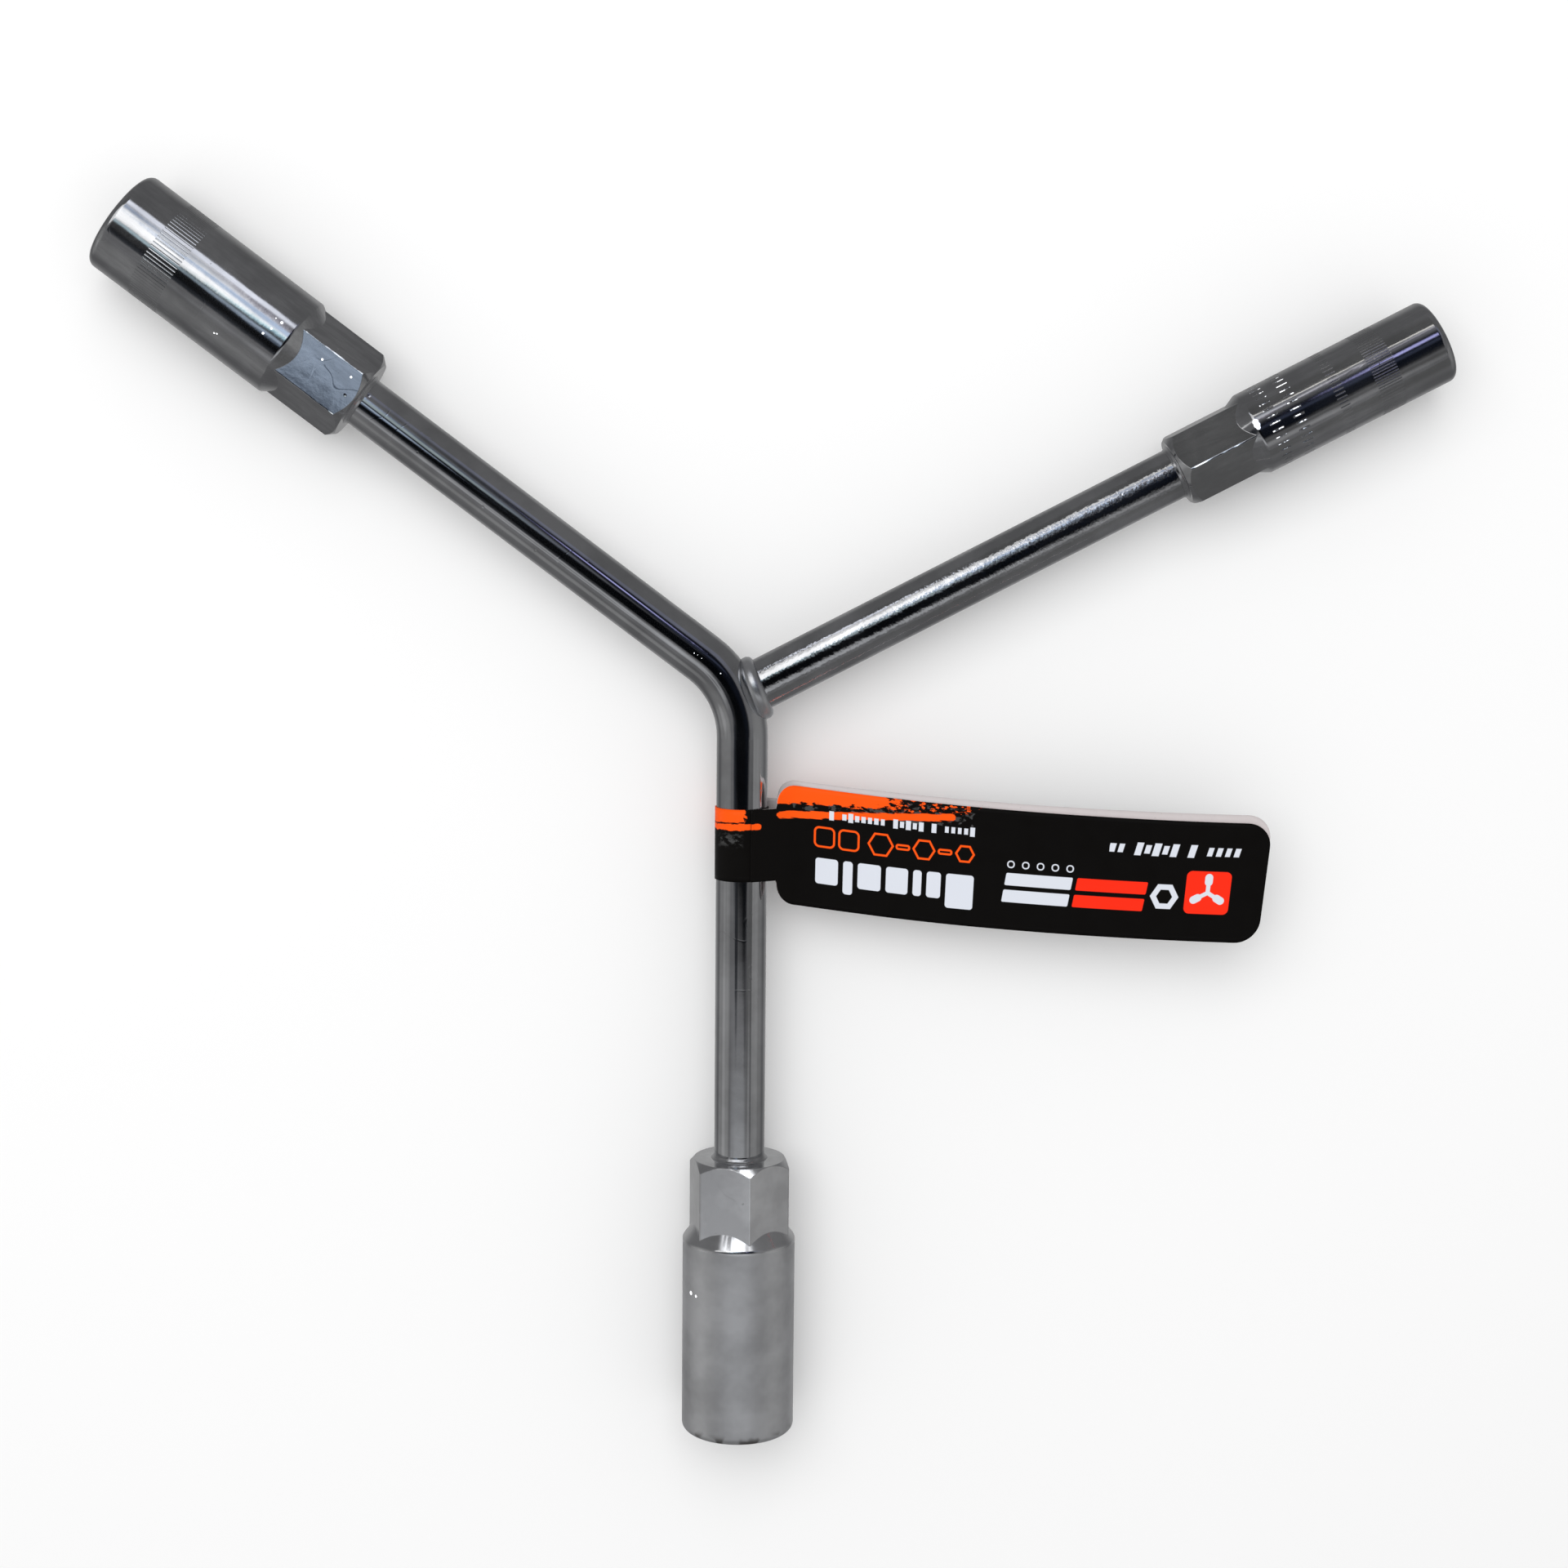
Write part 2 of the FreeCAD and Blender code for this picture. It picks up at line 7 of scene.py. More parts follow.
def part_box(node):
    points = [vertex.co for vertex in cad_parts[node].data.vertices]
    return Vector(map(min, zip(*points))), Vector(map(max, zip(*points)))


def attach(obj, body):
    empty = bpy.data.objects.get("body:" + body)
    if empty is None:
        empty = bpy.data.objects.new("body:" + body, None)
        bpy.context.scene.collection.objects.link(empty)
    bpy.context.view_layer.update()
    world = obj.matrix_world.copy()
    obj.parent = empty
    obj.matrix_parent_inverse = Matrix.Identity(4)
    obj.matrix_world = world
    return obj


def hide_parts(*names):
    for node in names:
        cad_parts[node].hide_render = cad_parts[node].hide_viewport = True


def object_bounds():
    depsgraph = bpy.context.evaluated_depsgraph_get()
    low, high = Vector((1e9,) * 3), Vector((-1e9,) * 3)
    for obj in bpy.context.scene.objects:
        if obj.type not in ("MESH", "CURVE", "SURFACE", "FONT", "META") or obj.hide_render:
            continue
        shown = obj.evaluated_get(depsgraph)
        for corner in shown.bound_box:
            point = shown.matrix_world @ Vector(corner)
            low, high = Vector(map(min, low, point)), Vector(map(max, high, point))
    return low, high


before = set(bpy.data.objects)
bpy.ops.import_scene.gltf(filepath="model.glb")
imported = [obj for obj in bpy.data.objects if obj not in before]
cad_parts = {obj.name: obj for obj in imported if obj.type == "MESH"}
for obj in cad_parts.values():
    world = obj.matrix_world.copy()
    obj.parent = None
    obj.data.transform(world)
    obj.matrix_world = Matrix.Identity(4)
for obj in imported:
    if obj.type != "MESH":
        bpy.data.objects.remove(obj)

# Looks for the three-arm socket wrench with its hang tag. Lengths are metres in the row
# frame: the hub is the origin, the arms lie in the XY plane and the 14 mm arm points
# along -Y. Sizes that are easier to read in millimetres are multiplied by MM.
MM = 0.001
MICRON = 0.000001
CAD_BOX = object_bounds()

# Sizes taken from the frame.
SLEEVE_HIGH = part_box("tag_sleeve")[1]
LEAF_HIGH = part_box("tag_front_leaf")[1]
FLOOR_HEIGHT = CAD_BOX[0].z

# Studio: half the side of each square that holds a card or the floor.
FLOOR_REACH = 20.0
CEILING_REACH = 0.62
REFLECTOR_REACH = 0.25
CEILING_HEIGHT = 0.5

# Camera: above the hub and a little behind it, looking almost straight down.
CAMERA_PLACE = Vector((-4.86, 43.18, 452.75)) * MM
CAMERA_TARGET = Vector((7.40, -16.97, 0.0)) * MM
CAMERA_ROLL = math.radians(0.545)
CAMERA_LENS = 59.5

# Directions of the arms in the XY plane.
ARM_14 = math.radians(-90)
ARM_12 = math.radians(143.3)
ARM_10 = math.radians(27.5)

# Hang tag: one card round the rod, with two leaves glued face to face.
CARD = 0.22 * MM
GLUE = 0.06 * MM
SLEEVE_CARD = 0.20 * MM
SLEEVE_MIDDLE = 4.63 * MM
SLEEVE_LOW_Y = -33.8 * MM
PRINT_CENTRE = -28.65 * MM
LAP_CLEARANCE = 0.03 * MM
LAP_OVERLAP = 0.6 * MM
LEAF_CENTRE = -27.55 * MM
LEAF_TOP = 10.95 * MM
LEAF_BOTTOM = -10.35 * MM
LEAF_START = 7.0 * MM
LEAF_END = LEAF_HIGH.x + 0.35 * MM
LEAF_LENGTH = LEAF_END - LEAF_START
LEAF_TILT = math.radians(4.0)
LEAF_SLANT = math.sin(math.radians(5.5))
LEAF_HEADING = -7.9  # degrees, at the end by the rod
LEAF_STRAIGHTENING = 7.7  # degrees, by the outer end
LEAF_MEETING = 9.6 * MM
NEAR_CORNER = 3.6 * MM
FAR_CORNER = 4.2 * MM


# ---------------------------------------------------------------- node trees


class Nodes:
    """A short way to write a node tree: each call adds one node and returns its output."""

    def __init__(self, tree):
        self.tree = tree
        tree.nodes.clear()

    def add(self, kind, *inputs, out=0, **settings):
        node = self.tree.nodes.new("ShaderNode" + kind)
        for name, value in settings.items():
            setattr(node, name, value)
        for socket, value in zip(node.inputs, inputs):
            if isinstance(value, bpy.types.NodeSocket):
                self.tree.links.new(value, socket)
            elif value is not None:
                socket.default_value = value
        return node.outputs[out]

    def math(self, operation, *values):
        return self.add("Math", *values, operation=operation)

    def sum(self, *values):
        total = values[0]
        for value in values[1:]:
            total = self.math("ADD", total, value)
        return total

    def vector(self, operation, *values, out=0):
        return self.add("VectorMath", *values, operation=operation, out=out)

    def spin(self, place, angle):
        """Turn about the vertical axis."""
        return self.add("VectorRotate", place, (0, 0, 0), (0, 0, 1), angle, rotation_type="Z_AXIS")

    def step(self, value, low, high, first=0.0, last=1.0):
        """Turn smoothly from first, where value is low, to last, where it is high."""
        return self.add("MapRange", value, low, high, first, last, interpolation_type="SMOOTHSTEP")

    def ramp(self, value, low, high, first, last):
        """Turn evenly from first to last, and stay there."""
        return self.add("MapRange", value, low, high, first, last)

    def noise(self, place, scale, detail=2.0, roughness=0.5):
        return self.add("TexNoise", place, None, scale, detail, roughness)

    def blend(self, factor, first, last):
        """Mix two colours."""
        node = self.tree.nodes.new("ShaderNodeMix")
        node.data_type = "RGBA"
        sockets = (node.inputs["Factor"], node.inputs[6], node.inputs[7])
        for socket, value in zip(sockets, (factor, first, last)):
            if isinstance(value, bpy.types.NodeSocket):
                self.tree.links.new(value, socket)
            else:
                socket.default_value = (*value, 1.0) if isinstance(value, tuple) else value
        return node.outputs[2]

    def bump(self, height, depth, normal=None):
        """Raise the surface by depth metres where height is 1."""
        return self.add("Bump", 1.0, depth, 1.0, height, normal)

    def surface(self, shader):
        output = self.tree.nodes.new("ShaderNodeOutputMaterial")
        self.tree.links.new(shader, output.inputs["Surface"])

    def mix(self, factor, first, last):
        """Mix two shaders."""
        node = self.tree.nodes.new("ShaderNodeMixShader")
        for socket, value in zip(node.inputs, (factor, first, last)):
            self.tree.links.new(value, socket)
        return node.outputs[0]

    def principled(self, linked, **fixed):
        """A Principled shader: linked sockets by name, and the numbers that are constant."""
        node = self.tree.nodes.new("ShaderNodeBsdfPrincipled")
        for name, value in fixed.items():
            node.inputs[name.replace("_", " ")].default_value = value
        for name, value in linked.items():
            self.tree.links.new(value, node.inputs[name])
        return node.outputs[0]


def new_material(name):
    material = bpy.data.materials.new(name)
    material.use_nodes = True
    return material, Nodes(material.node_tree)


def heading(azimuth, elevation=0.0):
    """Unit vector for an azimuth and an elevation in degrees."""
    azimuth, elevation = math.radians(azimuth), math.radians(elevation)
    flat = math.cos(elevation)
    return (flat * math.cos(azimuth), flat * math.sin(azimuth), math.sin(elevation))


# ---------------------------------------------------------------- studio


def build_camera():
    camera = bpy.data.objects.new("camera", bpy.data.cameras.new("camera"))
    bpy.context.scene.collection.objects.link(camera)
    back = (CAMERA_PLACE - CAMERA_TARGET).normalized()
    right = Vector((0, 1, 0)).cross(back).normalized()
    up = back.cross(right)
    turned = Matrix((right, up, back)).transposed() @ Matrix.Rotation(CAMERA_ROLL, 3, "Z")
    camera.matrix_world = Matrix.Translation(CAMERA_PLACE) @ turned.to_4x4()
    camera.data.lens = CAMERA_LENS
    camera.data.sensor_width = 36.0
    camera.data.clip_start = 0.01
    camera.data.clip_end = 100.0
    bpy.context.scene.camera = camera


def build_world():
    """Pale room for the camera, even light for the floor, grey walls for the chrome to mirror."""
    world = bpy.data.worlds.new("studio")
    bpy.context.scene.world = world
    world.use_nodes = True
    n = Nodes(world.node_tree)
    direction = n.add("TexCoord", out=0)
    height = n.add("SeparateXYZ", direction, out=2)
    walls = n.blend(n.step(height, -0.5, -0.95), (0.155, 0.155, 0.158), (0.34, 0.34, 0.34))
    # Lighter patches of wall: azimuth, elevation, radius of the even middle, radius of the soft
    # edge, all in degrees, and how bright.
    for azimuth, elevation, inner, outer, level in (
            (195, 10, 12, 42, 0.28), (345, 12, 12, 42, 0.25), (199, -14, 5, 13, 0.29),
            (199, 24, 4, 11, 0.32), (200, 8, 3, 13, 0.42), (337, 33, 8, 19, 0.29),
            (344, -2, 4, 10, 0.24), (342, 15, 3, 15, 0.31), (234, 12, 3, 12, 0.28),
            (106, 34, 5, 24, 0.12), (308, 24, 4, 20, 0.145)):
        nearness = n.vector("DOT_PRODUCT", direction, heading(azimuth, elevation), out=1)
        lobe = n.step(nearness, math.cos(math.radians(outer)), math.cos(math.radians(inner)))
        walls = n.blend(lobe, walls, (level, level, level))
    light_path = n.tree.nodes.new("ShaderNodeLightPath")
    seen = n.blend(light_path.outputs["Is Glossy Ray"], (0.72, 0.72, 0.72), walls)
    seen = n.blend(light_path.outputs["Is Camera Ray"], seen, (0.95, 0.95, 0.95))
    background = n.add("Background", seen)
    output = n.tree.nodes.new("ShaderNodeOutputWorld")
    n.tree.links.new(background, output.inputs["Surface"])


def build_lights():
    """Broad soft light for the floor and the card. The chrome mirrors the ceiling card instead."""
    data = bpy.data.lights.new("overhead_softbox", "AREA")
    data.shape = "RECTANGLE"
    data.size = 0.9
    data.size_y = 0.7
    data.energy = 4.0
    light = bpy.data.objects.new("overhead_softbox", data)
    bpy.context.scene.collection.objects.link(light)
    light.location = (-0.15, 0.35, 0.8)
    light.rotation_euler = (Vector((0, 0, 0)) - light.location).to_track_quat("-Z", "Y").to_euler()
    light.visible_glossy = False


def build_plane(name, half, height):
    mesh = bpy.data.meshes.new(name)
    corners = [(x * half, y * half, height) for x, y in ((-1, -1), (1, -1), (1, 1), (-1, 1))]
    mesh.from_pydata(corners, [], [(0, 1, 2, 3)])
    plane = bpy.data.objects.new(name, mesh)
    bpy.context.scene.collection.objects.link(plane)
    return plane


def hide_from_all_but_mirrors(card):
    for kind in ("camera", "diffuse", "transmission", "volume_scatter", "shadow"):
        setattr(card, "visible_" + kind, False)


def build_floor():
    floor = build_plane("floor", FLOOR_REACH, FLOOR_HEIGHT)
    floor.visible_glossy = False
    material, n = new_material("pale_floor")
    n.surface(n.principled({}, Base_Color=(0.94, 0.94, 0.94, 1.0), Roughness=1.0,
                           Specular_IOR_Level=0.0))
    floor.data.materials.append(material)


def ellipse(n, x, y, centre, radii, soft):
    """1 inside an ellipse, fading to 0 outside it."""
    across = n.math("MULTIPLY", n.math("SUBTRACT", x, centre[0]), 1 / radii[0])
    along = n.math("MULTIPLY", n.math("SUBTRACT", y, centre[1]), 1 / radii[1])
    squares = n.math("ADD", n.math("MULTIPLY", across, across), n.math("MULTIPLY", along, along))
    distance = n.math("SQRT", squares)
    return n.step(distance, 1 + soft, 1 - soft)


def build_ceiling():
    """The card over the table: grey cloth, a softbox, and the dark hood round the camera.

    Only mirrored rays see it, so it shapes the streaks in the chrome and nothing else.
    """
    ceiling = build_plane("ceiling_card", CEILING_REACH, CEILING_HEIGHT)
    hide_from_all_but_mirrors(ceiling)
    material, n = new_material("ceiling_card")
    place = n.add("TexCoord", out=3)
    x = n.add("SeparateXYZ", place, out=0)
    y = n.add("SeparateXYZ", place, out=1)
    colour = (0.19, 0.19, 0.195)
    black = (0.0015, 0.002, 0.003)
    # Patches on the cloth, each over the one before it: centre, radii, softness and brightness.
    for centre, radii, soft, level in (
            ((0.36, 0.50), (0.22, 0.22), 0.6, (0.19, 0.20, 0.255)),
            ((-0.02, -0.30), (0.40, 0.095), 0.5, (0.52, 0.53, 0.545)),
            ((0.45, -0.18), (0.22, 0.10), 0.6, (0.12, 0.12, 0.12)),
            ((0.39, -0.30), (0.10, 0.09), 0.5, (0.33, 0.33, 0.335)),
            ((-0.28, -0.285), (0.05, 0.035), 0.6, (0.24, 0.24, 0.245)),
            ((0.20, -0.165), (0.07, 0.03), 0.5, (0.09, 0.09, 0.095)),
            ((0.13, -0.105), (0.11, 0.055), 0.4, (0.006, 0.007, 0.009)),
            ((-0.20, -0.145), (0.07, 0.04), 0.35, (0.035, 0.037, 0.042)),
            ((-0.30, -0.07), (0.11, 0.07), 0.4, (0.03, 0.033, 0.04)),
            ((0.0, -0.02), (0.34, 0.125), 0.25, black),
            ((0.20, 0.17), (0.14, 0.24), 0.35, (0.006, 0.008, 0.014)),
            ((-0.10, 0.03), (0.16, 0.11), 0.3, black),
            ((-0.01, 0.19), (0.065, 0.085), 0.5, (0.135, 0.155, 0.20)),
            ((-0.038, 0.168), (0.045, 0.055), 0.6, (0.42, 0.50, 0.52)),
            ((0.175, 0.155), (0.06, 0.035), 0.6, (0.043, 0.052, 0.085)),
            ((0.16, 0.258), (0.024, 0.035), 0.7, (0.72, 0.72, 1.30)),
            ((-0.215, 0.125), (0.035, 0.035), 0.6, (0.62, 0.80, 0.88)),
            ((-0.145, 0.065), (0.052, 0.042), 0.3, (0.44, 0.53, 0.66)),
            ((-0.166, 0.038), (0.030, 0.030), 0.15, (0.10, 0.13, 0.18))):
        colour = n.blend(ellipse(n, x, y, centre, radii, soft), colour, level)
    # The softbox's near edges, each with the colour fringe that a lens gives.
    near = n.math("SUBTRACT", n.math("SUBTRACT", y, n.math("MULTIPLY", x, 0.75)), 0.215)
    side = n.math("SUBTRACT", n.math("SUBTRACT", n.math("MULTIPLY", y, 0.45), x), 0.13)
    front = n.step(y, 0.10, 0.16)
    channels = []
    for near_shift, side_shift in ((0.012, 0.003), (0.004, 0.004), (0.0, 0.0)):
        inside = n.math("MULTIPLY", front, n.step(near, near_shift, near_shift + 0.04))
        beside = n.step(side, side_shift - 0.03, side_shift + 0.03)
        channels.append(n.math("MULTIPLY", inside, beside))
    level = n.ramp(ellipse(n, x, y, (-0.15, 0.30), (0.12, 0.16), 0.5), 0.0, 1.0, 1.0, 1.9)
    softbox = n.vector("SCALE", n.add("CombineXYZ", *channels), None, None, level)
    colour = n.blend(n.math("MAXIMUM", channels[1], channels[2]), colour, softbox)
    for centre, radii, soft, level in (
            ((-0.038, 0.270), (0.045, 0.055), 0.6, (0.70, 0.85, 1.10)),
            ((-0.045, 0.43), (0.055, 0.07), 0.6, (0.48, 0.56, 0.72)),
            ((0.02, 0.515), (0.055, 0.055), 0.4, (0.24, 0.24, 0.26)),
            ((0.01, 0.598), (0.09, 0.016), 0.4, (1.5, 1.45, 1.3))):
        colour = n.blend(ellipse(n, x, y, centre, radii, soft), colour, level)
    n.surface(n.add("Emission", colour, 1.0))
    ceiling.data.materials.append(material)


def build_reflector(name, centre, radii, azimuth, level):
    """A small flat card low beside one arm, which widens the streak along its barrel."""
    card = build_plane(name, REFLECTOR_REACH, centre[2])
    hide_from_all_but_mirrors(card)
    material, n = new_material(name)
    place = n.vector("SUBTRACT", n.add("TexCoord", out=3), centre)
    turned = n.spin(place, -math.radians(azimuth))
    x = n.add("SeparateXYZ", turned, out=0)
    y = n.add("SeparateXYZ", turned, out=1)
    inside = ellipse(n, x, y, (0.0, 0.0), radii, 0.4)
    n.surface(n.mix(inside, n.add("BsdfTransparent"), n.add("Emission", (*level, 1.0))))
    card.data.materials.append(material)


def build_glint(name, centre, half_width, half_height, azimuth):
    """A small upright card beside the part, lit on the side that faces away from the hub.

    A shoulder that slopes towards the hub mirrors it. Seen from above, the rods and barrels
    mirror only its back, which is clear. From low down the rod mirrors its lit side too.
    """
    facing = Vector(heading(azimuth))
    across = Vector((-facing.y, facing.x, 0.0)) * half_width
    up = Vector((0.0, 0.0, half_height))
    middle = Vector(centre) * MM
    mesh = bpy.data.meshes.new(name)
    low, high = middle - up, middle + up
    corners = [low - across, low + across, high + across, high - across]
    mesh.from_pydata(corners, [], [(0, 1, 2, 3)])
    card = bpy.data.objects.new(name, mesh)
    bpy.context.scene.collection.objects.link(card)
    hide_from_all_but_mirrors(card)
    material, n = new_material(name)
    back = n.add("NewGeometry", out=6)
    place = n.add("TexCoord", out=3)
    aside = n.vector("DOT_PRODUCT", n.vector("SUBTRACT", place, middle), across.normalized(), out=1)
    edge = n.step(n.math("ABSOLUTE", aside), half_width, 0.6 * half_width, 0.1, 1.0)
    patchy = n.step(n.noise(place, 90.0, 2.0), 0.36, 0.44, 0.30, 1.9)
    lit = n.add("Emission", (0.96, 0.97, 1.0, 1.0), n.math("MULTIPLY", edge, patchy))
    n.surface(n.mix(back, lit, n.add("BsdfTransparent")))
    card.data.materials.append(material)


# ---------------------------------------------------------------- chrome


def chrome(name, tint, roughness, wave, peel, grain, pits, arm=None, knurl=None, dashes=None,
           ridges=None, satin=None, nicks_and_glints=(), facet=(90, 75), clouds=0.12, streaks=0.0,
           rounding=0.08):
    """Bright chrome plate over steel. wave, peel and grain are heights in microns.

    arm is the direction of the piece's axis and how far the axis lies to the side of the hub.
    knurl is (first, last, radius): the stretch of a socket's barrel along its axis, in
    millimetres, where the plating half fills the grooves. dashes is the same for the stretch
    with punched dashes, where patches of the floors get a painted glint, and ridges for a
    painted glint in patches along the upper ridges of the hexagon. satin is where a duller
    finish starts along the axis, and its roughness. nicks are (place, radius) of small painted
    glints: bright nicks, and on the 10 mm shoulder a painted highlight. Each painted glint is
    brightened to near white, made smoother and turned towards facet, the azimuth and
    elevation that the glints face. rounding is the radius of the plated edges.
    """
    material, n = new_material(name)
    place = n.add("TexCoord", out=3)
    cloud = n.noise(place, 130.0, 3.0, 0.6)
    smudge = n.noise(place, 60.0, 3.0)
    grey = tuple(value * (1 - 2 * clouds) for value in tint)
    colour = n.blend(n.ramp(n.sum(cloud, smudge), 0.8, 1.2, 0.0, 1.0), grey, tint)
    rough = n.ramp(smudge, 0.35, 0.7, roughness * 0.8, roughness * 1.5)
    shape = n.add("Bevel", rounding * MM)
    if arm:
        angle, shift = arm
        turned = n.spin(place, -angle)
        turned = n.vector("ADD", turned, (0.0, shift * MM, 0.0))
        along = n.add("SeparateXYZ", turned, out=0)
        across = n.vector("MULTIPLY", turned, (0.0, 1.0, 1.0))
        reach = n.vector("LENGTH", across, out=1)

    def stretch(first, last, radius):
        """1 on the barrel's outside between two places along the axis."""
        after = n.math("GREATER_THAN", along, first * MM)
        inside = n.math("MULTIPLY", after, n.math("LESS_THAN", along, last * MM))
        return n.math("MULTIPLY", inside, n.math("GREATER_THAN", reach, (radius - 0.3) * MM))

    if knurl:
        radial = n.vector("NORMALIZE", n.spin(across, angle))
        share = n.math("MULTIPLY", stretch(*knurl), 0.45)
        lean = n.vector("SCALE", n.vector("SUBTRACT", radial, shape), None, None, share)
        shape = n.vector("ADD", shape, lean)
    normal = n.bump(n.noise(place, 190.0, 1.0), wave * MICRON, shape)
    normal = n.bump(n.noise(place, 900.0, 2.0, 0.6), peel * MICRON, normal)
    normal = n.bump(n.noise(place, 2400.0, 3.0, 0.7), grain * MICRON, normal)
    if arm:
        lines = n.noise(n.vector("MULTIPLY", turned, (70.0, 1300.0, 1300.0)), 1.0, 2.0)
        normal = n.bump(lines, 1.6 * MICRON, normal)
    if streaks:
        drawn = n.noise(n.vector("MULTIPLY", turned, (110.0, 700.0, 700.0)), 1.0, 3.0, 0.65)
        dark = tuple(value * (1 - 2 * streaks) for value in tint)
        colour = n.blend(n.ramp(drawn, 0.38, 0.60, 0.55, 0.0), colour, dark)
    if satin:
        # The rim of the nose is stained brown in places.
        nose = n.step(along, 132.8 * MM, 134.6 * MM)
        rim = n.math("MULTIPLY", nose, n.step(reach, 8.7 * MM, 9.3 * MM))
        stain = n.math("MULTIPLY", rim, n.step(n.noise(place, 230.0, 2.0), 0.52, 0.62))
        colour = n.blend(n.math("MULTIPLY", stain, 0.8), colour, (0.10, 0.085, 0.07))
        dull = n.step(along, (satin[0] - 0.4) * MM, (satin[0] + 0.4) * MM)
        rough = n.sum(n.math("MULTIPLY", rough, n.math("SUBTRACT", 1.0, dull)),
                      n.math("MULTIPLY", dull, satin[1]))
    # Hair scratches follow the level lines of a slow noise, and only in a few patches.
    level = n.math("ABSOLUTE", n.math("SUBTRACT", n.noise(place, 120.0, 1.0), 0.5))
    patches = n.step(n.noise(place, 75.0, 1.0), 0.55, 0.62)
    hair = n.math("MULTIPLY", n.step(level, 0.012, 0.002), patches)
    normal = n.bump(hair, -4.0 * MICRON, normal)
    cells = n.add("TexVoronoi", place, None, 380.0)
    patches = n.step(n.noise(place, 150.0, 1.0), 0.60, 0.64)
    holes = n.math("MULTIPLY", n.step(cells, 0.11, 0.03), patches)
    normal = n.bump(holes, -pits * MICRON, normal)
    glints = [n.step(n.vector("DISTANCE", place, tuple(value * MM for value in spot), out=1),
                     radius * MM, 0.6 * radius * MM) for spot, radius in nicks_and_glints]
    # Painted glint on noise-picked patches of the punched dashes' floors.
    if dashes:
        cut = n.step(reach, (dashes[2] - 0.10) * MM, (dashes[2] - 0.06) * MM, 1.0, 0.0)
        cut = n.math("MULTIPLY", cut, stretch(*dashes))
        cut = n.math("MULTIPLY", cut, n.step(n.noise(place, 520.0, 2.0), 0.40, 0.50))
        glints.append(n.math("MULTIPLY", cut, n.step(n.noise(place, 1500.0, 1.0), 0.36, 0.56)))
    # Painted glint in patches along the hexagon's ridges, on the upper ridges only.
    if ridges:
        wear_and_glint = n.step(reach, (ridges[2] - 0.11) * MM, (ridges[2] - 0.03) * MM)
        wear_and_glint = n.math("MULTIPLY", wear_and_glint, stretch(*ridges))
        upper = n.math("GREATER_THAN", n.add("SeparateXYZ", turned, out=2), 0.8 * ridges[2] * MM)
        patches = n.step(n.noise(place, 300.0, 2.0), 0.36, 0.62)
        wear_and_glint = n.math("MULTIPLY", wear_and_glint, n.math("MULTIPLY", upper, patches))
        glints.append(wear_and_glint)
    # Painted glints: the nicks, dash floors and upper ridges are brightened to near white, made
    # smoother and turned towards facet.
    if glints:
        glint = glints[0]
        for other in glints[1:]:
            glint = n.math("MAXIMUM", glint, other)
        turn = n.vector("SUBTRACT", heading(*facet), normal)
        swing = n.vector("SCALE", turn, None, None, glint)
        normal = n.vector("NORMALIZE", n.vector("ADD", normal, swing))
        rough = n.math("MINIMUM", rough, n.ramp(glint, 0.0, 1.0, 1.0, 0.12))
        colour = n.blend(glint, colour, (0.93, 0.94, 0.96))
    linked = {"Base Color": colour, "Roughness": rough, "Normal": normal}
    n.surface(n.principled(linked, Metallic=1.0))
    return material


